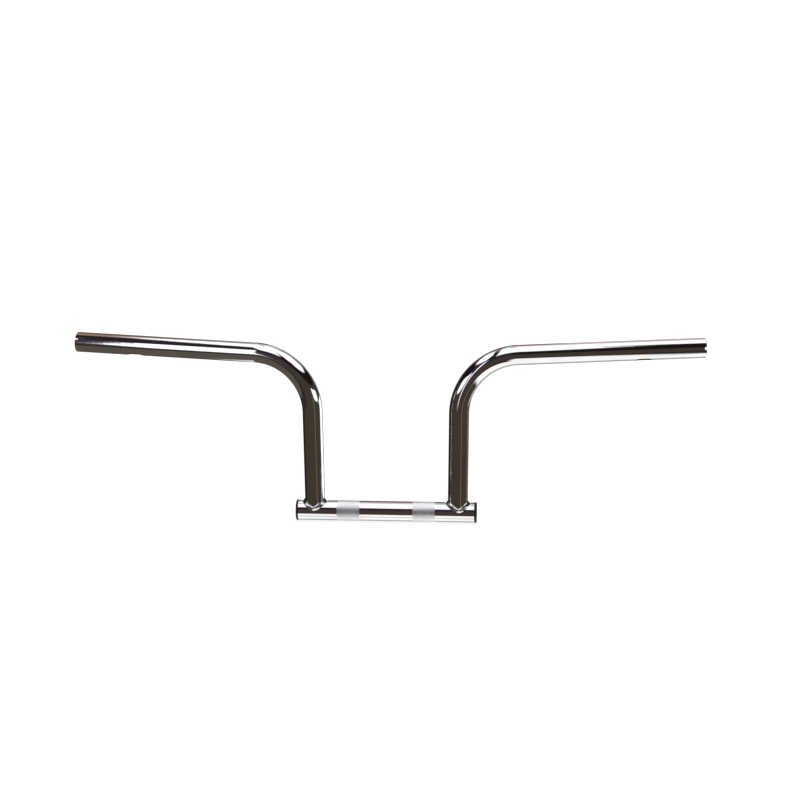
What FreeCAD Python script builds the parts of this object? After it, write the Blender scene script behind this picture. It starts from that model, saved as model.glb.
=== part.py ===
"""Narrow Z-style motorcycle handlebar, welded from one-inch chromed steel tube.

A short straight base tube carries two upright bars. Each bar is one bent tube: a riser, a bend and a grip.
The bars are coped onto the base tube and joined to it by a weld bead, and plastic plugs close its ends.

Frame: millimetres, +Z up along the risers, +X along the base tube, the front of the motorcycle towards -Y.
The origin is on the base tube's axis, midway between the two knurled bands that the riser clamps hold.
Left is at -X and right at +X, as seen from the front.
"""
import FreeCAD, Part
import math
import os

import Sketcher

V = FreeCAD.Vector
SIDES = {"left": -1, "right": 1}

SIZES = {
    # all tubes
    "tube_diameter": 25.4,
    "tube_wall": 3.0,
    "end_chamfer": 0.5,
    # base tube, and its knurled clamp bands
    "base_length": 224.0,
    "knurl_spacing": 95.5,
    "knurl_length": 29.0,
    "knurl_rise": 0.2,
    # bars: the corner is where a riser's axis and its grip's axis would cross
    "riser_spacing": 181.0,
    "riser_foot": 4.0,
    "corner_height": 200.0,
    "corner_to_tip": 306.0,
    "bend_radius": 75.0,
    "bend_turn": 87.8,
    "lean_out": 0.7,
    "sweep_back": 6.5,
    # wire slot under each grip, turned from straight down towards the front
    "slot_from_tip": 78.0,
    "slot_length": 20.5,
    "slot_width": 10.0,
    "left_slot_turn": 12.0,
    "right_slot_turn": 22.0,
    # notch in the front of each bar's open end, turned up from straight ahead
    "left_notch_turn": 30.0,
    "left_notch_width": 2.6,
    "left_notch_depth": 4.2,
    "right_notch_turn": 8.0,
    "right_notch_width": 3.8,
    "right_notch_depth": 2.8,
    # weld beads
    "bead_front_radius": 2.7,
    "bead_side_radius": 3.6,
    "bead_foot_gap": 4.8,
    # plugs in the base tube's ends
    "plug_head_diameter": 26.2,
    "plug_head_thickness": 2.5,
    "plug_head_fillet": 1.2,
    "plug_stem_length": 13.0,
    "plug_stem_wall": 1.5,
    "plug_stem_clearance": 0.5,
    "plug_rib_clearance": 0.05,
    "plug_rib_width": 1.5,
    "plug_rib_pitch": 4.0,
}
PLUG_RIBS = 3
BEAD_RIPPLES = 36
THROUGH = 5.0  # how far a cutting shape runs past the material it cuts
CLOSE = 1e-3  # two places or sizes are the same within this

doc = FreeCAD.newDocument("Handlebar")


def make_sheet():
    """The driving dimensions, one per row, each cell with its name as alias."""
    sheet = doc.addObject("Spreadsheet::Sheet", "Sizes")
    for row, (alias, value) in enumerate(SIZES.items(), start=1):
        sheet.set(f"A{row}", alias)
        sheet.set(f"B{row}", str(value))
        sheet.setAlias(f"B{row}", alias)
    doc.recompute()
    return sheet


sheet = make_sheet()


def size(expression):
    """The value of an expression over the sheet's cells."""
    value = sheet.evalExpression(expression)
    return float(getattr(value, "Value", value))


def bind(item, **expressions):
    """Bind properties to expressions. A double underscore stands for the dot in a property's path."""
    for path, expression in expressions.items():
        item.setExpression(path.replace("__", "."), expression)


def origin_feature(body, role):
    return next(f for f in body.Origin.OriginFeatures if f.Role == role)


def new_body(name):
    return doc.addObject("PartDesign::Body", name)


def new_sketch(body, name, plane, **offset):
    """A sketch on one of the body's origin planes, with its attachment offset bound to expressions."""
    sketch = body.newObject("Sketcher::SketchObject", name)
    sketch.AttachmentSupport = [(origin_feature(body, plane), "")]
    sketch.MapMode = "FlatFace"
    bind(sketch, **{f"AttachmentOffset__{path}": expression for path, expression in offset.items()})
    return sketch


def constrain(sketch, name, expression, kind, *where):
    """Add a dimension and bind it to an expression over the sheet."""
    index = sketch.addConstraint(Sketcher.Constraint(kind, *where, size(expression)))
    sketch.renameConstraint(index, name)
    bind(sketch, **{f"Constraints__{name}": expression})


def constrain_angle(sketch, name, expression, line):
    index = sketch.addConstraint(Sketcher.Constraint("Angle", line, math.radians(size(expression))))
    sketch.renameConstraint(index, name)
    bind(sketch, **{f"Constraints__{name}": f"({expression}) * 1 deg"})


def add_ring(sketch, outer, inner):
    """Two circles about the sketch's origin, each given by its radius."""
    for index, (name, radius) in enumerate((("outer", outer), ("inner", inner))):
        sketch.addGeometry(Part.Circle(V(0, 0, 0), V(0, 0, 1), size(radius)))
        sketch.addConstraint(Sketcher.Constraint("Coincident", index, 3, -1, 1))
        constrain(sketch, name, radius, "Radius", index)


def add_outline(sketch, corners):
    """A closed polygon. Each corner is a pair of expressions for its place in the sketch."""
    points = [V(size(x), size(y), 0) for x, y in corners]
    for index, point in enumerate(points):
        sketch.addGeometry(Part.LineSegment(point, points[(index + 1) % len(points)]))
    for index, (x, y) in enumerate(corners):
        previous = (index - 1) % len(corners)
        sketch.addConstraint(Sketcher.Constraint("Coincident", previous, 2, index, 1))
        constrain(sketch, f"x{index}", x, "DistanceX", index, 1)
        constrain(sketch, f"y{index}", y, "DistanceY", index, 1)


def circles_at(shape, centre, radius):
    """Names of the shape's round edges of this radius about this centre."""
    names = []
    for number, edge in enumerate(shape.Edges, start=1):
        curve = edge.Curve
        if not isinstance(curve, Part.Circle):
            continue
        if abs(curve.Radius - radius) < CLOSE and (curve.Center - centre).Length < CLOSE:
            names.append(f"Edge{number}")
    return names


TUBE_RADIUS = "Sizes.tube_diameter / 2"
BORE_RADIUS = "(Sizes.tube_diameter / 2 - Sizes.tube_wall)"
KNURL_RADIUS = "(Sizes.tube_diameter / 2 + Sizes.knurl_rise)"
GRIP_RISE = "(90 - Sizes.bend_turn)"


def bar_placement(sign):
    """A bar's foot on the base tube's axis, with the bar leaning out and its grip swept back."""
    turned = FreeCAD.Rotation(sign * size("Sizes.sweep_back"), sign * size("Sizes.lean_out"), 0)
    return FreeCAD.Placement(V(sign * size("Sizes.riser_spacing / 2"), 0, 0), turned)


def chamfer_tube_ends(body, base, centres):
    """Break the outer edge of a tube at its open ends."""
    doc.recompute()
    edges = [name for centre in centres for name in circles_at(base.Shape, centre, size(TUBE_RADIUS))]
    chamfer = body.newObject("PartDesign::Chamfer", f"{body.Name}_end_chamfer")
    chamfer.Base = (base, edges)
    bind(chamfer, Size="Sizes.end_chamfer")
    body.Tip = chamfer
    return chamfer


def make_base_tube():
    """The straight lower tube. Its knurled bands stand slightly proud, as a rolled knurl does."""
    body = new_body("base_tube")
    section = new_sketch(body, "base_section", "YZ_Plane")
    add_ring(section, TUBE_RADIUS, BORE_RADIUS)
    tube = body.newObject("PartDesign::Pad", "base_pad")
    tube.Profile = section
    tube.SideType = "Symmetric"
    bind(tube, Length="Sizes.base_length")

    band_start = "(Sizes.knurl_spacing - Sizes.knurl_length) / 2"
    band_section = new_sketch(body, "knurl_section", "YZ_Plane", Base__z=band_start)
    add_ring(band_section, KNURL_RADIUS, BORE_RADIUS)
    band = body.newObject("PartDesign::Pad", "knurl_band")
    band.Profile = band_section
    bind(band, Length="Sizes.knurl_length")

    other_band = body.newObject("PartDesign::Mirrored", "other_knurl_band")
    other_band.Originals = [band]
    other_band.MirrorPlane = (origin_feature(body, "YZ_Plane"), [""])
    body.Tip = other_band

    half = size("Sizes.base_length") / 2
    chamfer_tube_ends(body, other_band, [V(-half, 0, 0), V(half, 0, 0)])
    body.Label = "base_tube"
    return body


def make_cope_tool():
    """The base tube's outer cylinder, which shapes the foot of each riser."""
    tool = doc.addObject("Part::Cylinder", "cope_tool")
    bind(tool, Radius=TUBE_RADIUS, Height="Sizes.base_length", Placement__Base__x="-Sizes.base_length / 2")
    tool.Placement.Rotation = FreeCAD.Rotation(V(0, 1, 0), 90)
    return tool


def add_bar_path(sketch, sign):
    """Riser, tangent bend and grip, in the bar's own upright plane. The sign is the side it bends to."""
    foot = size("Sizes.riser_foot")
    corner = V(0, size("Sizes.corner_height"), 0)
    turn = math.radians(size("Sizes.bend_turn"))
    radius = size("Sizes.bend_radius")
    outward = V(sign * math.sin(turn), math.cos(turn), 0)
    tangent = radius * math.tan(turn / 2)
    bend_start = corner - V(0, tangent, 0)
    bend_end = corner + outward * tangent
    centre = bend_start + V(sign * radius, 0, 0)
    middle = centre + (corner - centre).normalize() * radius
    tip = corner + outward * size("Sizes.corner_to_tip")

    sketch.addGeometry(Part.LineSegment(V(0, foot, 0), bend_start))
    bend = Part.Arc(bend_start, middle, bend_end)
    sketch.addGeometry(bend)
    sketch.addGeometry(Part.LineSegment(bend_end, tip))
    # an arc runs anticlockwise, so the bend to the right ends where its riser starts
    first, last = (2, 1) if sign > 0 else (1, 2)
    sketch.addConstraint(Sketcher.Constraint("PointOnObject", 0, 1, -2))
    sketch.addConstraint(Sketcher.Constraint("Vertical", 0))
    sketch.addConstraint(Sketcher.Constraint("Tangent", 0, 2, 1, first))
    sketch.addConstraint(Sketcher.Constraint("Tangent", 1, last, 2, 1))
    constrain(sketch, "foot", "Sizes.riser_foot", "DistanceY", 0, 1)
    constrain(sketch, "bend_radius", "Sizes.bend_radius", "Radius", 1)
    constrain(sketch, "tip_x", f"{sign} * Sizes.corner_to_tip * sin(Sizes.bend_turn)", "DistanceX", 2, 2)
    tip_height = "Sizes.corner_height + Sizes.corner_to_tip * cos(Sizes.bend_turn)"
    constrain(sketch, "tip_y", tip_height, "DistanceY", 2, 2)
    grip_angle = GRIP_RISE if sign > 0 else f"(180 - {GRIP_RISE})"
    constrain_angle(sketch, "grip_angle", grip_angle, 2)


def grip_sketch(body, name, sign, roll):
    """A sketch in a plane through the grip's axis. Its x axis runs outward from the bar's end."""
    offset = {
        "Base__x": f"{sign} * Sizes.corner_to_tip * sin(Sizes.bend_turn)",
        "Base__y": "Sizes.corner_height + Sizes.corner_to_tip * cos(Sizes.bend_turn)",
    }
    sketch = new_sketch(body, name, "XZ_Plane", **offset)
    yaw = size(GRIP_RISE) if sign > 0 else 180 - size(GRIP_RISE)
    place = sketch.AttachmentOffset
    sketch.AttachmentOffset = FreeCAD.Placement(place.Base, FreeCAD.Rotation(yaw, 0, size(roll)))
    return sketch


def add_slot(sketch, centre, length, width):
    """A round-ended slot along the sketch's x axis, given by its centre, its whole length and its width."""
    middle, straight, radius = size(centre), size(f"{length} - {width}"), size(f"{width} / 2")
    ends = V(middle - straight / 2, 0, 0), V(middle + straight / 2, 0, 0)
    up = V(0, radius, 0)
    half_turn = math.pi / 2
    normal = V(0, 0, 1)
    sketch.addGeometry(Part.LineSegment(ends[0] + up, ends[1] + up))
    sketch.addGeometry(Part.ArcOfCircle(Part.Circle(ends[1], normal, radius), -half_turn, half_turn))
    sketch.addGeometry(Part.LineSegment(ends[1] - up, ends[0] - up))
    sketch.addGeometry(Part.ArcOfCircle(Part.Circle(ends[0], normal, radius), half_turn, 3 * half_turn))
    sketch.addConstraint(Sketcher.Constraint("Tangent", 0, 2, 1, 2))
    sketch.addConstraint(Sketcher.Constraint("Tangent", 1, 1, 2, 1))
    sketch.addConstraint(Sketcher.Constraint("Tangent", 2, 2, 3, 2))
    sketch.addConstraint(Sketcher.Constraint("Tangent", 3, 1, 0, 1))
    sketch.addConstraint(Sketcher.Constraint("PointOnObject", 1, 3, -1))
    sketch.addConstraint(Sketcher.Constraint("Horizontal", 0))
    constrain(sketch, "radius", f"{width} / 2", "Radius", 1)
    constrain(sketch, "near_end", f"{centre} - ({length} - {width}) / 2", "DistanceX", 3, 3)
    constrain(sketch, "far_end", f"{centre} + ({length} - {width}) / 2", "DistanceX", 1, 3)


def cut_wall(body, sketch, name):
    """Cut the sketch through one wall of the tube, outward from the tube's axis along the sketch's normal."""
    doc.recompute()
    before = body.Shape.Volume
    pocket = body.newObject("PartDesign::Pocket", name)
    pocket.Profile = sketch
    pocket.Reversed = True
    bind(pocket, Length=f"{TUBE_RADIUS} + {THROUGH}")
    body.Tip = pocket
    doc.recompute()
    if not pocket.Shape.Volume < before - 1:
        raise RuntimeError(f"{name} cuts nothing")


def make_bar(side, cope_tool):
    """One bar: a tube bent from riser to grip, slotted, notched and coped onto the base tube."""
    sign = SIDES[side]
    body = new_body(f"{side}_bar_tube")
    path = new_sketch(body, f"{side}_bar_path", "XZ_Plane")
    add_bar_path(path, sign)
    section = new_sketch(body, f"{side}_bar_section", "XY_Plane", Base__z="Sizes.riser_foot")
    add_ring(section, TUBE_RADIUS, BORE_RADIUS)
    pipe = body.newObject("PartDesign::AdditivePipe", f"{side}_bar_pipe")
    pipe.Profile = section
    pipe.Spine = path
    body.Tip = pipe

    turn = math.radians(size("Sizes.bend_turn"))
    run = size("Sizes.corner_to_tip")
    tip = V(sign * run * math.sin(turn), 0, size("Sizes.corner_height") + run * math.cos(turn))
    chamfer_tube_ends(body, pipe, [tip])

    slot = grip_sketch(body, f"{side}_slot_outline", sign, f"{sign} * (90 - Sizes.{side}_slot_turn)")
    add_slot(slot, "-Sizes.slot_from_tip", "Sizes.slot_length", "Sizes.slot_width")
    cut_wall(body, slot, f"{side}_wire_slot")

    width, depth = f"Sizes.{side}_notch_width", f"Sizes.{side}_notch_depth"
    notch = grip_sketch(body, f"{side}_notch_outline", sign, f"{-sign} * Sizes.{side}_notch_turn")
    add_slot(notch, "0", f"2 * {depth}", width)
    cut_wall(body, notch, f"{side}_end_notch")

    bind(body, Placement__Base__x=f"{sign} * Sizes.riser_spacing / 2")
    body.Placement = bar_placement(sign)

    bar = doc.addObject("Part::Cut", f"{side}_bar")
    bar.Base = body
    bar.Tool = cope_tool
    bar.Label = f"{side}_bar"
    return bar


def cylinder_along_base(radius, length, middle):
    """A solid cylinder on the base tube's axis, its middle at that x."""
    return Part.makeCylinder(radius, length, V(middle - length / 2, 0, 0), V(1, 0, 0))


def make_weld(side):
    """The rippled bead around a riser's foot, as overlapping balls of weld metal.

    The balls follow the closed line where two crossing tubes of one radius meet. That line rises to the
    tube's crown at the sides and, since the cope's thin tips are cut away, stays bead_foot_gap above the
    base tube's axis at the front and back.
    """
    placement = bar_placement(SIDES[side])
    up = placement.Rotation.multVec(V(0, 0, 1))
    radius = size(TUBE_RADIUS)
    gap = size("Sizes.bead_foot_gap")
    front, flank = size("Sizes.bead_front_radius"), size("Sizes.bead_side_radius")
    balls = []
    for step in range(BEAD_RIPPLES):
        angle = 2 * math.pi * (step + 0.5) / BEAD_RIPPLES
        around = V(math.cos(angle), math.sin(angle), 0)
        centre = placement.Base + up * math.hypot(radius * around.x, gap) + around * radius
        balls.append(Part.makeSphere(front + (flank - front) * around.x**2, centre, around))

    foot = placement.Base + up * size("Sizes.riser_foot")
    tubes = [Part.makeCylinder(radius, size("Sizes.corner_height") / 2, foot, up)]
    tubes.append(cylinder_along_base(radius, size("Sizes.base_length"), 0))
    for end in SIDES.values():
        middle = end * size("Sizes.knurl_spacing") / 2
        tubes.append(cylinder_along_base(size(KNURL_RADIUS), size("Sizes.knurl_length"), middle))

    weld = doc.addObject("Part::Feature", f"{side}_weld")
    weld.Shape = balls[0].multiFuse(balls[1:]).cut(tubes)
    weld.Placement = FreeCAD.Placement()
    weld.Label = f"{side}_weld"
    return weld


def make_plug(side):
    """A push-in plug: a rounded head against the tube's end and a hollow ribbed stem in its bore."""
    sign = SIDES[side]
    body = new_body(f"{side}_base_plug")
    sketch = new_sketch(body, f"{side}_plug_profile", "XZ_Plane")
    stem = f"({BORE_RADIUS} - Sizes.plug_stem_clearance)"
    rib = f"({BORE_RADIUS} - Sizes.plug_rib_clearance)"
    corners = [
        ("Sizes.plug_head_thickness", "0"),
        ("Sizes.plug_head_thickness", "Sizes.plug_head_diameter / 2"),
        ("0", "Sizes.plug_head_diameter / 2"),
        ("0", stem),
    ]
    for number in range(1, PLUG_RIBS + 1):
        peak = f"-{number} * Sizes.plug_rib_pitch"
        corners.append((f"{peak} + Sizes.plug_rib_width / 2", stem))
        corners.append((peak, rib))
        corners.append((f"{peak} - Sizes.plug_rib_width / 2", stem))
    corners += [
        ("-Sizes.plug_stem_length", stem),
        ("-Sizes.plug_stem_length", f"{stem} - Sizes.plug_stem_wall"),
        ("0", f"{stem} - Sizes.plug_stem_wall"),
        ("0", "0"),
    ]
    add_outline(sketch, corners)
    turned = body.newObject("PartDesign::Revolution", f"{side}_plug_body")
    turned.Profile = sketch
    turned.ReferenceAxis = (sketch, ["H_Axis"])
    turned.Angle = 360
    body.Tip = turned
    doc.recompute()

    centre = V(size("Sizes.plug_head_thickness"), 0, 0)
    fillet = body.newObject("PartDesign::Fillet", f"{side}_plug_fillet")
    fillet.Base = (turned, circles_at(turned.Shape, centre, size("Sizes.plug_head_diameter / 2")))
    bind(fillet, Radius="Sizes.plug_head_fillet")
    body.Tip = fillet

    bind(body, Placement__Base__x=f"{sign} * Sizes.base_length / 2")
    outward = FreeCAD.Rotation(V(0, 0, 1), 0 if sign > 0 else 180)
    body.Placement = FreeCAD.Placement(V(sign * size("Sizes.base_length / 2"), 0, 0), outward)
    body.Label = f"{side}_base_plug"
    return body


def check(parts):
    """Stop unless every object computed and every sub-part is one whole valid solid."""
    for item in doc.Objects:
        if "Invalid" in item.State or "Error" in item.State:
            raise RuntimeError(f"{item.Label} failed: {item.State}")
    for part in parts:
        shape = part.Shape
        if shape.isNull() or not shape.isValid() or len(shape.Solids) != 1:
            raise RuntimeError(f"{part.Label} is not one valid solid")


def main():
    cope_tool = make_cope_tool()
    parts = [make_base_tube()]
    for side in SIDES:
        parts += [make_bar(side, cope_tool), make_weld(side), make_plug(side)]
    doc.recompute()
    check(parts)
    os.makedirs("parts", exist_ok=True)
    for part in parts:
        part.Shape.exportStep(f"parts/{part.Label}.step")
        print(f"{part.Label}: {part.Shape.Volume:.0f} mm3")


main()
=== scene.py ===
"""Narrow Z-style motorcycle handlebar, chromed: the visual model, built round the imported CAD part.

Metres, +Z up along the risers, +X along the base tube, the front towards -Y. Left is at -X.
The bars, the base tube and the weld beads are modelled again at a fineness that mirror chrome needs, with the
knurling and the ripples of the weld as real geometry. The two end plugs are the CAD nodes themselves.
"""
import math

import bpy
import numpy as np
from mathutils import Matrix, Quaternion, Vector


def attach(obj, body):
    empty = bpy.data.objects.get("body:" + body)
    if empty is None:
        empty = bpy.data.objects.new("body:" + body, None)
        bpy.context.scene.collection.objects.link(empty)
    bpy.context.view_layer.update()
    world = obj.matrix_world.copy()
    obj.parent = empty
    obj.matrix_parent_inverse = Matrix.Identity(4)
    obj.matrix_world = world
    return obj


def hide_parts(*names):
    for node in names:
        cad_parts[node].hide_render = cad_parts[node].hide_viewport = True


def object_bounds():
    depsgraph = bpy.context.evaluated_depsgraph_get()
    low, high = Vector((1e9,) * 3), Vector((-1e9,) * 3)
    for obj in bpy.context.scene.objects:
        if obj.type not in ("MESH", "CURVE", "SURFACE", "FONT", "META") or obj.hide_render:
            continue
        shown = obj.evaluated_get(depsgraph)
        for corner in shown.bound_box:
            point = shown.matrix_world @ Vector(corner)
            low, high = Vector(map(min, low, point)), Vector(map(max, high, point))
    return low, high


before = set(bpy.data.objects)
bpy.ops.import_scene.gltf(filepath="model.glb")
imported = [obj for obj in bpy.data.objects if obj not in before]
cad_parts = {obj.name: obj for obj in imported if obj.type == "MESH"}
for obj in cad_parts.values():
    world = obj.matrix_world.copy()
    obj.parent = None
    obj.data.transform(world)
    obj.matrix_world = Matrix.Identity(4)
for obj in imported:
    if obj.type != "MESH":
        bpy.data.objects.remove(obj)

CAD_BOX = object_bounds()
MM = 0.001
SIDES = {"left": -1, "right": 1}

# the part's sizes, in millimetres and degrees
TUBE_R = 12.7
BORE_R = 9.7
CHAMFER = 0.5
BASE_HALF = 112.0
RISER_X = 90.5
RISER_FOOT = 4.0
CORNER_HEIGHT = 200.0
CORNER_TO_TIP = 306.0
BEND_R = 75.0
BEND_TURN = math.radians(87.8)
LEAN_OUT = math.radians(0.7)
SWEEP_BACK = math.radians(6.5)
SLOT = {"from_tip": 78.0, "length": 20.5, "width": 10.0, "turn": {"left": 12.0, "right": 22.0}}
NOTCH = {
    "left": {"turn": 30.0, "width": 2.6, "depth": 4.2},
    "right": {"turn": 8.0, "width": 3.8, "depth": 2.8},
}
KNURL_MIDDLE = 47.75
KNURL_LENGTH = 29.0
KNURL_R = 12.9
KNURL_DEPTH = 0.34
KNURL_STARTS = 48
KNURL_HELIX = math.radians(30)
KNURL_FADE = 0.8
KNURL_CREST = 0.2  # the share of each ridge that is flat on top

# the weld bead: its reach over each tube at the front and at the flanks, and how low its seam dips
BEAD_FRONT, BEAD_FLANK, BEAD_GAP = 3.0, 3.5, 5.8
BEAD_ON_RISER, BEAD_ON_BASE = 0.92, 0.98
BEAD_RISE, BEAD_RISE_FRONT = 0.35, 0.50
BEAD_SUNK, BEAD_ROOT_SUNK = 0.12, 0.25
BEAD_SHARP = math.radians(50)
BEAD_RIPPLES = 36
RIPPLE_RISE, RIPPLE_BOW, RIPPLE_POWER = 0.09, 0.9, 0.6

# the camera, in metres, and the angle by which it is rolled
CAMERA_AT = (0.2029, -2.2972, 0.6797)
CAMERA_LOOKS = (-0.0781, 0.9710, -0.2261)
CAMERA_ROLL = math.radians(-0.36)

TANGENT = BEND_R * math.tan(BEND_TURN / 2)
BEND_START = CORNER_HEIGHT - TANGENT
STRAIGHT = CORNER_TO_TIP - TANGENT
BEND_END = BEND_START + BEND_R * BEND_TURN
BAR_LENGTH = BEND_END + STRAIGHT
NEARLY_BORE = BORE_R + 0.1  # what lies within this radius is the bore's wall
WALL_FACING = math.cos(math.radians(24))  # a face that faces out or in at least this squarely is round wall
CUT_FROM, CUT_TO = 4.0, 20.0  # the slot and notch cutters' two ends, from the bar's axis

# how finely the pieces are divided
AROUND = 96
RISER_STATIONS = (30.0, 80.0)
BEND_STATIONS, GRIP_STATIONS = 73, 14
KNURL_STATIONS, POINTS_PER_START = 109, 6
POINTS_PER_RIPPLE, BEAD_ACROSS = 8, 12
CUTTER_STEPS = 20


# ---------------------------------------------------------------- materials

def new_material(name):
    """A new material, its nodes and its links."""
    material = bpy.data.materials.new(name)
    material.use_nodes = True
    return material, material.node_tree.nodes, material.node_tree.links


def noise(nodes, links, vector, scale, detail=3.0):
    """A noise value at the given place."""
    node = nodes.new("ShaderNodeTexNoise")
    node.inputs["Scale"].default_value = scale
    node.inputs["Detail"].default_value = detail
    links.new(vector, node.inputs["Vector"])
    return node.outputs["Fac"]


def remap(nodes, links, value, low, high, to_low=0.0, to_high=1.0):
    """The value carried smoothly from one range to another."""
    node = nodes.new("ShaderNodeMapRange")
    node.interpolation_type = "SMOOTHSTEP"
    for socket, number in zip(("From Min", "From Max", "To Min", "To Max"), (low, high, to_low, to_high)):
        node.inputs[socket].default_value = number
    links.new(value, node.inputs["Value"])
    return node.outputs["Result"]


def stretched(nodes, links, source, scale):
    """A place scaled along each of its axes."""
    node = nodes.new("ShaderNodeMapping")
    node.inputs["Scale"].default_value = scale
    links.new(source, node.inputs["Vector"])
    return node.outputs["Vector"]


def two_colours(nodes, links, shader, first, second, share):
    """A base colour somewhere between two colours."""
    mix = nodes.new("ShaderNodeMix")
    mix.data_type = "RGBA"
    mix.inputs["A"].default_value = (*first, 1)
    mix.inputs["B"].default_value = (*second, 1)
    links.new(share, mix.inputs["Factor"])
    links.new(mix.outputs["Result"], shader.inputs["Base Color"])


def bumps(nodes, links, shader, height, strength, distance):
    """A surface that rises and falls with the height value."""
    bump = nodes.new("ShaderNodeBump")
    bump.inputs["Strength"].default_value = strength
    bump.inputs["Distance"].default_value = distance
    links.new(height, bump.inputs["Height"])
    links.new(bump.outputs["Normal"], shader.inputs["Normal"])


def metal(name, colour, dark_colour, roughness, spread, waves, lined=False):
    """A polished or dull metal with two near colours and a roughness that drifts.

    waves: its bumps' scale, strength and distance. lined: its roughness runs in fine lines along the tube.
    """
    material, nodes, links = new_material(name)
    shader = nodes["Principled BSDF"]
    shader.inputs["Metallic"].default_value = 1.0
    place = nodes.new("ShaderNodeTexCoord")
    here = place.outputs["Object"]
    drift = noise(nodes, links, here, 22.0)
    two_colours(nodes, links, shader, dark_colour, colour, remap(nodes, links, drift, 0.35, 0.62))
    if lined:
        lines = stretched(nodes, links, place.outputs["UV"], (18.0, 1400.0, 1.0))
        fine = noise(nodes, links, lines, 1.0, 2.0)
    else:
        fine = noise(nodes, links, here, 900.0, 2.0)
    rough = remap(nodes, links, fine, 0.3, 0.75, roughness, roughness + spread)
    links.new(rough, shader.inputs["Roughness"])
    scale, strength, distance = waves
    bumps(nodes, links, shader, noise(nodes, links, here, scale, 2.0), strength, distance)
    return material


def plastic(name):
    """Moulded black polyethylene: satin, with a fine spark-eroded grain and rubbed, paler patches."""
    material, nodes, links = new_material(name)
    shader = nodes["Principled BSDF"]
    here = nodes.new("ShaderNodeTexCoord").outputs["Object"]
    rubbed = remap(nodes, links, noise(nodes, links, here, 160.0), 0.4, 0.7)
    two_colours(nodes, links, shader, (0.008, 0.008, 0.009), (0.020, 0.020, 0.021), rubbed)
    grain = noise(nodes, links, here, 2600.0, 2.0)
    links.new(remap(nodes, links, grain, 0.3, 0.7, 0.38, 0.55), shader.inputs["Roughness"])
    bumps(nodes, links, shader, grain, 0.35, 0.00006)
    return material


CHROME = metal(
    "chrome", (0.86, 0.86, 0.88), (0.80, 0.80, 0.83), 0.025, 0.05, (38.0, 0.05, 0.0008), lined=True
)
KNURL_CHROME = metal(
    "chrome_on_knurl", (0.95, 0.95, 0.98), (0.88, 0.88, 0.93), 0.04, 0.08, (1500.0, 0.15, 0.00004)
)
WELD_CHROME = metal(
    "chrome_on_weld", (0.88, 0.88, 0.90), (0.78, 0.78, 0.81), 0.13, 0.08, (420.0, 0.15, 0.0002)
)
RAW_STEEL = metal(
    "steel_in_bore", (0.30, 0.29, 0.28), (0.16, 0.15, 0.14), 0.38, 0.2, (700.0, 0.3, 0.0001)
)
PLASTIC = plastic("moulded_black")


# ---------------------------------------------------------------- geometry helpers

def add_mesh(name, points, faces):
    """A mesh object from points in millimetres."""
    mesh = bpy.data.meshes.new(name)
    mesh.from_pydata((np.asarray(points) * MM).tolist(), [], faces)
    mesh.validate()
    item = bpy.data.objects.new(name, mesh)
    bpy.context.scene.collection.objects.link(item)
    return item


def add_piece(name, rings, faces, materials, slot, *replaced):
    """A piece from rings of points. It rides on the root body and stands for the CAD nodes given."""
    piece = add_mesh(name, np.concatenate(rings), faces)
    for material in materials:
        piece.data.materials.append(material)
    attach(piece, "root")
    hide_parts(*replaced)
    shade_smooth(piece.data)
    return piece


def shade_smooth(mesh):
    mesh.polygons.foreach_set("use_smooth", np.ones(len(mesh.polygons), bool))


def ring_faces(rings, around):
    """Quads of a closed strip of rings, where the last ring joins the first."""
    faces = []
    for ring in range(rings):
        low, high = ring * around, (ring + 1) % rings * around
        for step in range(around):
            after = (step + 1) % around
            faces.append((low + step, low + after, high + after, high + step))
    return faces


def set_uv(mesh, along, across):
    """UV in metres, given per face corner."""
    layer = mesh.uv_layers.new(name="UVMap")
    layer.data.foreach_set("uv", np.stack([along, across], 1).astype(np.float32).ravel())


def corner_arrays(mesh):
    """Each corner's position in millimetres and its face's normal, and each face's count of corners."""
    points = np.array([v.co for v in mesh.vertices]) / MM
    corners = np.array([loop.vertex_index for loop in mesh.loops])
    sizes = np.array([len(polygon.vertices) for polygon in mesh.polygons])
    normals = np.repeat(np.array([polygon.normal for polygon in mesh.polygons]), sizes, axis=0)
    return points[corners], normals, sizes


def round_normals(points, normals, centres):
    """Exact normals wherever a face follows the tube's round wall, so that reflections run true."""
    radial = points - centres
    radial /= np.linalg.norm(radial, axis=1)[:, None]
    facing = (radial * normals).sum(1)
    return np.where((np.abs(facing) > WALL_FACING)[:, None], radial * np.sign(facing)[:, None], normals)


def face_middles(mesh):
    """Each face's middle, in millimetres."""
    return np.array([polygon.center for polygon in mesh.polygons]) / MM


def circle(count):
    """That many turns, evenly spaced round a circle."""
    return 2 * math.pi * np.arange(count) / count


def cut(piece, cutters):
    """Take the cutters' volumes out of the piece."""
    for cutter in cutters:
        modifier = piece.modifiers.new("cut", "BOOLEAN")
        modifier.operation = "DIFFERENCE"
        modifier.solver = "EXACT"
        modifier.object = cutter
    graph = bpy.context.evaluated_depsgraph_get()
    mesh = bpy.data.meshes.new_from_object(piece.evaluated_get(graph))
    piece.modifiers.clear()
    piece.data = mesh
    for cutter in cutters:
        bpy.data.objects.remove(cutter)


# ---------------------------------------------------------------- bars

def turned(axis, angle):
    """The matrix that turns by that angle about a main axis."""
    return np.array(Quaternion(axis, angle).to_matrix())


def bar_matrix(sign):
    """How the bar stands: leaning out, then swept back about its riser."""
    return turned((0, 0, 1), sign * SWEEP_BACK) @ turned((0, 1, 0), sign * LEAN_OUT)


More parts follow.
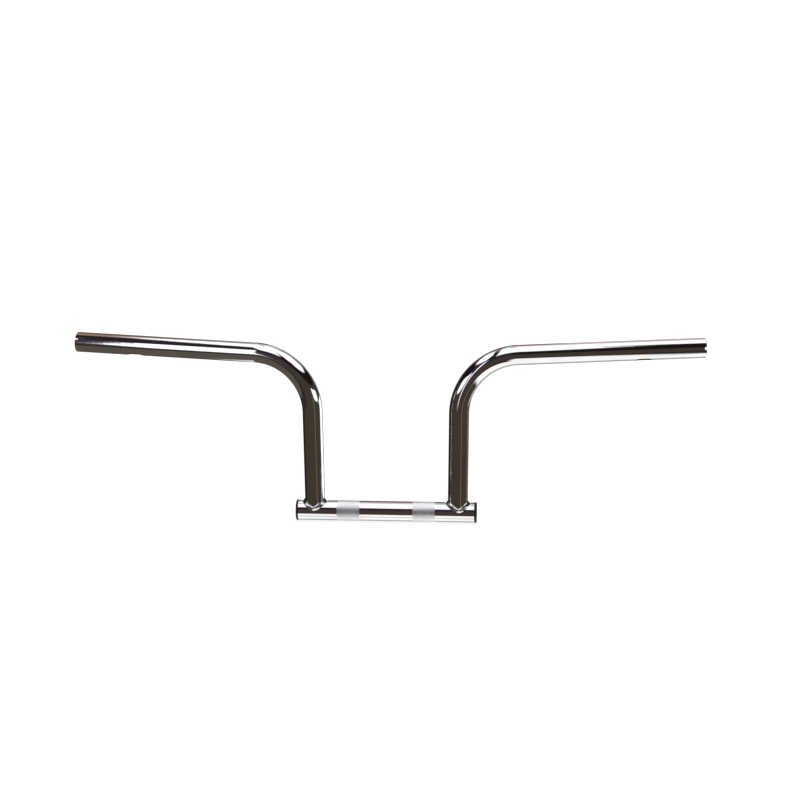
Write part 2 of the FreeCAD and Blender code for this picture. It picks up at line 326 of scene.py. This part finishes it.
def along_bar(sign, distance):
    """Centre and side vector of the bar's axis at that distance from the riser's foot, in its own frame."""
    if distance <= BEND_START:
        return np.array((0.0, 0.0, distance)), np.array((1.0, 0.0, 0.0))
    angle = min((distance - BEND_START) / BEND_R, BEND_TURN)
    centre = np.array((sign * BEND_R * (1 - math.cos(angle)), 0, BEND_START + BEND_R * math.sin(angle)))
    direction = np.array((sign * math.sin(angle), 0, math.cos(angle)))
    rest = distance - BEND_START - BEND_R * angle
    return centre + direction * max(rest, 0.0), np.array((math.cos(angle), 0, -sign * math.sin(angle)))


def bar_centres(sign):
    """A function from points to the nearest points of the bar's axis."""
    matrix = bar_matrix(sign)
    origin = np.array((sign * RISER_X, 0, 0))
    bend_centre = np.array((sign * BEND_R, 0, BEND_START))
    outward = np.array((sign * math.sin(BEND_TURN), 0, math.cos(BEND_TURN)))
    corner = np.array((0, 0, CORNER_HEIGHT))

    def centres(points):
        local = (points - origin) @ matrix
        angle = np.arctan2(local[:, 2] - BEND_START, -sign * (local[:, 0] - bend_centre[0]))
        riser = np.stack([0 * angle, 0 * angle, local[:, 2]], 1)
        bend = bend_centre + BEND_R * np.stack([-sign * np.cos(angle), 0 * angle, np.sin(angle)], 1)
        grip = corner + ((local - corner) @ outward)[:, None] * outward
        on_riser = (local[:, 2] < BEND_START) & (np.abs(local[:, 0]) < BEND_R)
        on_grip = (angle > BEND_TURN) | (sign * local[:, 0] > BEND_R * 1.5)
        axis = np.where(on_riser[:, None], riser, np.where(on_grip[:, None], grip, bend))
        return axis @ matrix.T + origin

    return centres


def coped_foot(sign, radius):
    """The ring at the foot of a riser's wall: it follows the base tube, and its thin tips are cut off."""
    matrix = bar_matrix(sign)
    up = matrix @ (0, 0, 1)
    ring = []
    for turn in circle(AROUND):
        start = matrix @ (radius * math.cos(turn), radius * math.sin(turn), 0) + (sign * RISER_X, 0, 0)
        a, b = up[1] ** 2 + up[2] ** 2, start[1] * up[1] + start[2] * up[2]
        under = b * b - a * (start[1] ** 2 + start[2] ** 2 - TUBE_R**2)
        reach = (-b + math.sqrt(under)) / a if under > 0 else 0.0
        ring.append(start + up * max(reach, RISER_FOOT))
    return np.array(ring)


def wall_cutter(sign, centre, length, width, turn_down):
    """A round-ended prism through one wall of the grip.

    centre: from the grip's tip, outward. turn_down: degrees from straight ahead towards the floor.
    """
    matrix = bar_matrix(sign)
    axis = matrix @ (sign * math.sin(BEND_TURN), 0, math.cos(BEND_TURN))
    down = matrix @ (sign * math.cos(BEND_TURN), 0, -math.sin(BEND_TURN))
    front = matrix @ (0, -1, 0)
    out = front * math.cos(math.radians(turn_down)) + down * math.sin(math.radians(turn_down))
    side = np.cross(out, axis)
    tip = matrix @ along_bar(sign, BAR_LENGTH)[0] + (sign * RISER_X, 0, 0)
    radius, half = width / 2, (length - width) / 2
    outline = []
    for end in (1, -1):
        for step in range(CUTTER_STEPS + 1):
            turn = -math.pi / 2 + math.pi * step / CUTTER_STEPS
            outline.append((centre + end * (half + radius * math.cos(turn)), end * radius * math.sin(turn)))
    points = [tip + axis * x + side * y + out * depth for depth in (CUT_FROM, CUT_TO) for x, y in outline]
    count = len(outline)
    faces = [tuple(range(count))[::-1], tuple(range(count, 2 * count))]
    faces += [(i, (i + 1) % count, count + (i + 1) % count, count + i) for i in range(count)]
    return add_mesh("cutter", points, faces)


def make_bar(side):
    """One bent tube, riser to open end, with its wire slot and end notch."""
    sign = SIDES[side]
    matrix = bar_matrix(sign)
    foot = np.array((sign * RISER_X, 0, 0))
    turns = circle(AROUND)
    bend = np.linspace(BEND_START, BEND_END, BEND_STATIONS)
    stations = [*RISER_STATIONS, *bend, *np.linspace(BEND_END, BAR_LENGTH, GRIP_STATIONS)[1:-1]]

    def ring(distance, radius):
        centre, side_way = along_bar(sign, distance)
        out = np.cos(turns)[:, None] * side_way + np.sin(turns)[:, None] * np.array((0, 1, 0))
        return (centre + radius * out) @ matrix.T + foot

    rings = [coped_foot(sign, TUBE_R)] + [ring(s, TUBE_R) for s in stations]
    rings += [ring(BAR_LENGTH - CHAMFER, TUBE_R), ring(BAR_LENGTH, TUBE_R - CHAMFER)]
    rings += [ring(BAR_LENGTH, BORE_R + CHAMFER), ring(BAR_LENGTH - CHAMFER, BORE_R)]
    rings += [ring(s, BORE_R) for s in reversed(stations)] + [coped_foot(sign, BORE_R)]
    faces = ring_faces(len(rings), AROUND)
    bar = add_piece(f"{side}_bar_chromed", rings, faces, [CHROME, RAW_STEEL], "chrome", f"{side}_bar")
    notch = NOTCH[side]
    slot_cutter = wall_cutter(sign, -SLOT["from_tip"], SLOT["length"], SLOT["width"], 90 - SLOT["turn"][side])
    notch_cutter = wall_cutter(sign, 0.0, 2 * notch["depth"], notch["width"], -notch["turn"])
    cut(bar, [slot_cutter, notch_cutter])
    mesh = bar.data
    centre_of = bar_centres(sign)
    middles = face_middles(mesh)
    depth = np.linalg.norm(middles - centre_of(middles), axis=1)
    mesh.polygons.foreach_set("material_index", (depth < NEARLY_BORE).astype(np.int32))
    shade_smooth(mesh)
    points, normals, _ = corner_arrays(mesh)
    centres = centre_of(points)
    local, centre = (points - foot) @ matrix, (centres - foot) @ matrix
    way = np.abs(centre[:, 0]) + centre[:, 2]
    set_uv(mesh, way * MM, np.arctan2(local[:, 1], local[:, 2] - centre[:, 2] + 1e-6) * TUBE_R * MM)
    mesh.normals_split_custom_set(round_normals(points, normals, centres).tolist())


# ---------------------------------------------------------------- base tube

def knurl_height(x, turn):
    """How far the crossed helical grooves cut down from the band's crown, for a place on the band."""
    lead = KNURL_STARTS / TUBE_R * math.tan(KNURL_HELIX)
    depth = np.zeros_like(x)
    for hand in (1, -1):
        phase = (KNURL_STARTS * turn + hand * lead * x) / (2 * math.pi)
        saw = np.abs(phase - np.round(phase)) * 2
        depth = np.maximum(depth, np.clip((saw - KNURL_CREST) / (1 - KNURL_CREST), 0, 1))
    return depth * KNURL_DEPTH


def make_base_tube():
    """The straight tube under the risers, with two diamond-knurled bands.

    A station is a place along the tube, and the same place from the middle of a band where it is on one.
    """
    around = KNURL_STARTS * POINTS_PER_START
    turns = circle(around)
    half, shoulder, end_run = KNURL_LENGTH / 2, 0.4, 20
    fine = np.linspace(-half, half, KNURL_STATIONS)
    stations = [(-BASE_HALF + CHAMFER, None), (-BASE_HALF + end_run, None)]
    for middle in (-KNURL_MIDDLE, KNURL_MIDDLE):
        stations.append((middle - half - shoulder, None))
        stations += [(middle + x, x) for x in fine]
        stations.append((middle + half + shoulder, None))
        if middle < 0:
            stations.append((0.0, None))
    stations += [(BASE_HALF - end_run, None), (BASE_HALF - CHAMFER, None)]

    def ring(x, radius):
        radius = np.broadcast_to(radius, turns.shape)
        return np.stack([np.full(around, x), radius * np.cos(turns), radius * np.sin(turns)], 1)

    rings = [ring(-BASE_HALF, TUBE_R - CHAMFER)]
    for x, on_band in stations:
        if on_band is None:
            rings.append(ring(x, TUBE_R))
        else:
            fade = min(1.0, (half - abs(on_band)) / KNURL_FADE)
            crown = TUBE_R + (KNURL_R - TUBE_R) * fade
            rings.append(ring(x, crown - knurl_height(np.full(around, x), turns) * fade))
    rings += [ring(BASE_HALF, TUBE_R - CHAMFER), ring(BASE_HALF, BORE_R + CHAMFER)]
    rings += [ring(BASE_HALF - CHAMFER, BORE_R)]
    rings += [ring(CHAMFER - BASE_HALF, BORE_R), ring(-BASE_HALF, BORE_R + CHAMFER)]
    faces = [face[::-1] for face in ring_faces(len(rings), around)]
    materials = [CHROME, RAW_STEEL, KNURL_CHROME]
    tube = add_piece("base_tube_knurled", rings, faces, materials, "chrome", "base_tube")
    mesh = tube.data
    middles = face_middles(mesh)
    depth = np.hypot(middles[:, 1], middles[:, 2])
    banded = np.abs(np.abs(middles[:, 0]) - KNURL_MIDDLE) < half
    index = np.where(depth < NEARLY_BORE, 1, np.where(banded, 2, 0))
    mesh.polygons.foreach_set("material_index", index.astype(np.int32))
    points, normals, sizes = corner_arrays(mesh)
    set_uv(mesh, points[:, 0] * MM, np.arctan2(points[:, 1], points[:, 2]) * TUBE_R * MM)
    on_band = np.repeat(banded & (depth > NEARLY_BORE), sizes)
    smooth = np.array([tuple(normal.vector) for normal in mesh.corner_normals])
    exact = round_normals(points, normals, points * (1, 0, 0))
    mesh.normals_split_custom_set(np.where(on_band[:, None], smooth, exact).tolist())


# ---------------------------------------------------------------- weld beads

def make_bead(side):
    """The weld bead round a riser's foot, with the faint crescents of its runs, chromed over."""
    sign = SIDES[side]
    matrix = bar_matrix(sign)
    origin = np.array((sign * RISER_X, 0, 0))
    up = matrix @ (0, 0, 1)
    around = BEAD_RIPPLES * POINTS_PER_RIPPLE

    def seam(turn):
        """The point where riser and base tube meet at that turn, and the way out from the riser."""
        way = matrix @ (math.cos(turn), math.sin(turn), 0)
        return origin + up * math.hypot(TUBE_R * math.cos(turn), BEAD_GAP) + way * TUBE_R, way

    def onto_base(point):
        """The place on the base tube's wall straight in or out from the point."""
        radius = math.hypot(point[1], point[2])
        return np.array((point[0], point[1] * TUBE_R / radius, point[2] * TUBE_R / radius))

    def onto_riser(point):
        """The place on the riser's wall straight in or out from the point."""
        offset = point - origin
        height = offset @ up
        out = offset - up * height
        return origin + up * height + out / np.linalg.norm(out) * TUBE_R

    rings = []
    for step, turn in enumerate(circle(around)):
        start, way = seam(turn)
        ahead = seam(turn + 1e-3)[0] - seam(turn - 1e-3)[0]
        ahead /= np.linalg.norm(ahead)
        width = BEAD_FRONT + (BEAD_FLANK - BEAD_FRONT) * math.cos(turn) ** 2
        climb = np.cross(ahead, way)
        climb *= np.sign(climb @ up)
        foot = onto_base(start)
        base_normal = np.array((0, foot[1], foot[2])) / TUBE_R
        spread = np.cross(ahead, base_normal)
        spread *= np.sign(spread @ way) if abs(spread @ way) > 0.2 else -np.sign(spread[2])
        top = onto_riser(start + climb * width * BEAD_ON_RISER)
        toe = onto_base(foot + spread * width * BEAD_ON_BASE)
        bulge = (way + base_normal) / np.linalg.norm(way + base_normal)
        crown = BEAD_RISE + BEAD_RISE_FRONT * math.sin(turn) ** 2
        middle = (start + foot + top + toe) / 4
        ring = []
        for t in np.linspace(0, 1, BEAD_ACROSS + 1):
            point = (1 - t) ** 2 * top + 2 * t * (1 - t) * middle + t * t * toe
            crescent = step / POINTS_PER_RIPPLE - RIPPLE_BOW * t * (1 - t)
            ripple = abs(math.sin(math.pi * crescent)) ** RIPPLE_POWER
            rise = 4 * t * (1 - t)
            ring.append(point + bulge * rise * (crown + RIPPLE_RISE * ripple))
        ring[0], ring[-1] = top - way * BEAD_SUNK, toe - base_normal * BEAD_SUNK
        ring += [foot - base_normal * BEAD_ROOT_SUNK, start - way * BEAD_ROOT_SUNK]
        rings.append(np.array(ring))
    faces = ring_faces(around, len(rings[0]))
    bead = add_piece(f"{side}_weld_bead", rings, faces, [WELD_CHROME], "chrome", f"{side}_weld")
    bead.data.set_sharp_from_angle(angle=BEAD_SHARP)


for side in SIDES:
    make_bar(side)
    make_bead(side)
    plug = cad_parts[f"{side}_base_plug"]
    plug.data.materials.clear()
    plug.data.materials.append(PLASTIC)
make_base_tube()


# ---------------------------------------------------------------- studio

ROOM = (0.058, 0.044, 0.031)
CEILING = (1.28, 1.28, 1.30)
HORIZON = 0.02


def studio_world():
    """A dim brown room with a bright ceiling panel, windows, and a white sheet below.

    Each panel is a colour and a mask, which is 1 inside the panel and 0 outside. Azimuth runs from straight
    ahead (-Y) towards the right (+X) and height from level, both in degrees. The floor's and the ceiling's x
    and y are those of a plane one unit below or above.
    """
    world = bpy.data.worlds.new("studio")
    bpy.context.scene.world = world
    world.use_nodes = True
    nodes, links = world.node_tree.nodes, world.node_tree.links
    direction = nodes.new("ShaderNodeTexCoord").outputs["Generated"]
    parts = nodes.new("ShaderNodeSeparateXYZ")
    links.new(direction, parts.inputs["Vector"])
    x, y, z = parts.outputs

    def math_node(operation, *values):
        node = nodes.new("ShaderNodeMath")
        node.operation = operation
        for socket, value in zip(node.inputs, values):
            if isinstance(value, (int, float)):
                socket.default_value = value
            else:
                links.new(value, socket)
        return node.outputs[0]

    def scaled(value, factor):
        return math_node("MULTIPLY", value, factor)

    def step(value, edge, soft):
        return remap(nodes, links, value, edge - soft, edge + soft)

    def less(value, edge, soft):
        return math_node("SUBTRACT", 1.0, step(value, edge, soft))

    def between(value, low, high, soft):
        return math_node("SUBTRACT", step(value, low, soft), step(value, high, soft))

    def product(*values):
        total = values[0]
        for value in values[1:]:
            total = math_node("MULTIPLY", total, value)
        return total

    azimuth = math_node("DEGREES", math_node("ARCTAN2", x, scaled(y, -1.0)))
    height = math_node("DEGREES", math_node("ARCSINE", z))
    side = math_node("ABSOLUTE", azimuth)
    below = math_node("MAXIMUM", scaled(z, -1.0), HORIZON)
    floor_x, floor_y = math_node("DIVIDE", x, below), math_node("DIVIDE", y, below)
    above = math_node("MAXIMUM", z, HORIZON)
    roof_x, roof_y = math_node("DIVIDE", x, above), math_node("DIVIDE", y, above)

    def rounded(low, high, bottom, top, soft=0.12):
        """A panel with rounded corners, between two azimuths and two heights."""
        total = None
        for value, start, end in ((azimuth, low, high), (height, bottom, top)):
            share = math_node("DIVIDE", math_node("SUBTRACT", value, (start + end) / 2), (end - start) / 2)
            share = math_node("POWER", math_node("ABSOLUTE", share), 4.0)
            total = share if total is None else math_node("ADD", total, share)
        return less(total, 1.0, soft)

    around_left = nodes.new("ShaderNodeVectorMath")
    around_left.operation = "DOT_PRODUCT"
    around_left.inputs[1].default_value = (-0.991, 0.122, 0.061)
    links.new(direction, around_left.inputs[0])
    left_cone = around_left.outputs["Value"]
    sheet = product(
        less(height, -4, 2), step(floor_x, -0.28, 0.02), less(floor_x, 1.02, 0.08), step(floor_y, -1.75, 0.06)
    )
    edge_on = between(height, -21, -7, 3)
    flare = scaled(math_node("MINIMUM", math_node("ADD", roof_y, 0.3), 0.0), 0.28)
    beam_edge = math_node("SUBTRACT", roof_x, flare)
    beam = product(step(height, 30, 4), less(roof_x, -0.287, 0.014), step(beam_edge, -0.42, 0.014))
    lean = math_node("ADD", azimuth, scaled(height, 0.11))
    right_edge = math_node("SUBTRACT", height, scaled(azimuth, 1.7))
    right_foot = math_node("ADD", height, scaled(azimuth, 2.2))
    tall_window = product(
        step(lean, -25.8, 0.4),
        less(azimuth, -20.5, 0.6),
        less(left_cone, 0.331, 0.004),
        between(height, -8, 36, 4),
    )
    left_rear, right_rear = less(azimuth, -171.5, 2), step(azimuth, 172, 2)
    right_wall = product(between(azimuth, 10, 30, 1.5), step(height, 20, 4), less(right_edge, 25.5, 4))
    sheet_middle = product(sheet, less(azimuth, 9, 2), between(floor_y, -0.75, -0.35, 0.08))
    sheet_shade = product(less(height, -24, 4), step(floor_y, 0.32, 0.05), step(x, -0.18, 0.04))
    sheet_end = product(between(azimuth, 12, 26, 2), less(height, -20, 3), step(right_foot, 3, 5))
    layers = [
        # the room: brown, green-black at the far left, with an olive floor at the left and dark upper walls
        ((0.016, 0.021, 0.011), less(azimuth, -98, 12)),
        ((0.105, 0.090, 0.072), product(less(azimuth, -18, 6), less(height, -26, 4))),
        ((0.030, 0.025, 0.024), product(between(azimuth, -128, -18, 8), between(height, -26, -18, 2))),
        ((0.010, 0.007, 0.006), between(height, 20, 46, 3)),
        ((0.035, 0.022, 0.045), product(between(height, 20, 46, 3), between(azimuth, -60, 6, 3))),
        ((0.17, 0.16, 0.13), product(between(azimuth, 29, 35, 1.5), between(height, -28, 2, 4))),
        ((0.16, 0.145, 0.13), product(step(azimuth, 112, 6), edge_on)),
        ((0.30, 0.29, 0.27), product(step(side, 142, 10), between(height, -7, 60, 8))),
        ((0.52, 0.52, 0.53), product(step(side, 166, 4), between(height, -4, 62, 8))),
        # the ceiling panel, and the wall behind with its warm trim
        (CEILING, product(step(height, 46, 2.5), less(side, 140, 10))),
        (CEILING, step(height, 58, 2.5)),
        (CEILING, product(step(height, 38, 2.0), between(azimuth, 36, 125, 8))),
        ((0.66, 0.70, 0.64), product(less(azimuth, -164, 3), between(height, 54, 80, 3))),
        ((0.22, 0.10, 0.075), product(left_rear, between(height, -4, 44, 4))),
        ((0.62, 0.50, 0.44), product(right_rear, between(height, -4, 44, 4))),
        # a dark beam along the ceiling panel, copper at its far end, and a dark wall at the right
        ((0.024, 0.015, 0.020), product(beam, less(roof_y, 0.24, 0.06))),
        ((0.33, 0.215, 0.145), product(beam, step(roof_y, 0.24, 0.06))),
        ((0.13, 0.075, 0.045), product(between(height, 5, 42, 5), between(azimuth, -169, -158, 2))),
        ((0.012, 0.008, 0.007), right_wall),
        # the windows
        ((1.5, 1.5, 1.6), tall_window),
        ((1.2, 1.2, 1.25), rounded(-74, -34, 8, 27)),
        ((1.2, 1.2, 1.25), rounded(46, 92, 1, 15)),
        # the white sheet below, with a greyer strip, its shaded side and its dark end
        ((1.15, 1.14, 1.09), sheet),
        ((0.80, 0.80, 0.86), sheet_middle),
        ((0.42, 0.42, 0.43), sheet_shade),
        ((0.030, 0.022, 0.026), sheet_end),
    ]
    rgb = nodes.new("ShaderNodeRGB")
    rgb.outputs[0].default_value = (*ROOM, 1)
    colour = rgb.outputs[0]
    for tint, mask in layers:
        mix = nodes.new("ShaderNodeMix")
        mix.data_type = "RGBA"
        mix.inputs["B"].default_value = (*tint, 1)
        links.new(colour, mix.inputs["A"])
        links.new(mask, mix.inputs["Factor"])
        colour = mix.outputs["Result"]
    links.new(colour, nodes["Background"].inputs["Color"])


studio_world()


def make_panel(name, place, aim, size, brightness, *pieces):
    """A soft flat light, in metres, that shines on the named pieces only."""
    light = bpy.data.lights.new(name, "AREA")
    light.shape = "RECTANGLE"
    light.size, light.size_y = size
    light.energy = brightness * math.pi * light.size * light.size_y
    panel = bpy.data.objects.new(name, light)
    bpy.context.scene.collection.objects.link(panel)
    panel.location = place
    panel.rotation_mode = "QUATERNION"
    panel.rotation_quaternion = (Vector(aim) - panel.location).to_track_quat("-Z", "Y")
    lit = bpy.data.collections.new(f"lit_by_{name}")
    for piece in pieces:
        lit.objects.link(bpy.data.objects[piece])
    panel.light_linking.receiver_collection = lit


BEADS = ("left_weld_bead", "right_weld_bead")
make_panel("low_strip", (1.27, 0.78, -0.26), (-RISER_X * MM, 0, 0.1), (1.1, 0.9), 1.25, "left_bar_chromed")
make_panel("back_panel", (0, 1.5, 0.35), (0, 0, 0), (2.2, 1.3), 1.1, *BEADS)
make_panel("front_panel", (0.1, -2.6, 0.9), (0, 0, 0), (1.6, 1.4), 0.9, *BEADS)


def make_floor():
    """A plain pale floor just under the base tube, in millimetres. Mirror chrome doesn't show it."""
    reach, gap = 60000.0, 0.2
    low = CAD_BOX[0].z / MM - gap
    corners = [(x * reach, y * reach, low) for x, y in ((-1, -1), (1, -1), (1, 1), (-1, 1))]
    floor = add_mesh("floor", corners, [(0, 1, 2, 3)])
    material, nodes, _ = new_material("pale_floor")
    shader = nodes["Principled BSDF"]
    shader.inputs["Base Color"].default_value = (0.5, 0.5, 0.5, 1)
    shader.inputs["Roughness"].default_value = 1.0
    shader.inputs["Specular IOR Level"].default_value = 0.0
    shader.inputs["Emission Color"].default_value = (1, 1, 1, 1)
    shader.inputs["Emission Strength"].default_value = 0.8
    floor.data.materials.append(material)
    floor.visible_glossy = False


def make_camera():
    """The camera, a little above the bars and to their right, looking down at them."""
    lens = bpy.data.cameras.new("camera")
    lens.sensor_width = 36.0
    lens.lens = 85.2
    lens.clip_end = 200.0
    camera = bpy.data.objects.new("camera", lens)
    bpy.context.scene.collection.objects.link(camera)
    camera.location = CAMERA_AT
    camera.rotation_mode = "QUATERNION"
    roll = Quaternion((0, 0, 1), CAMERA_ROLL)
    camera.rotation_quaternion = Vector(CAMERA_LOOKS).to_track_quat("-Z", "Y") @ roll
    bpy.context.scene.camera = camera


make_floor()
make_camera()
bpy.context.scene.view_settings.view_transform = "Standard"
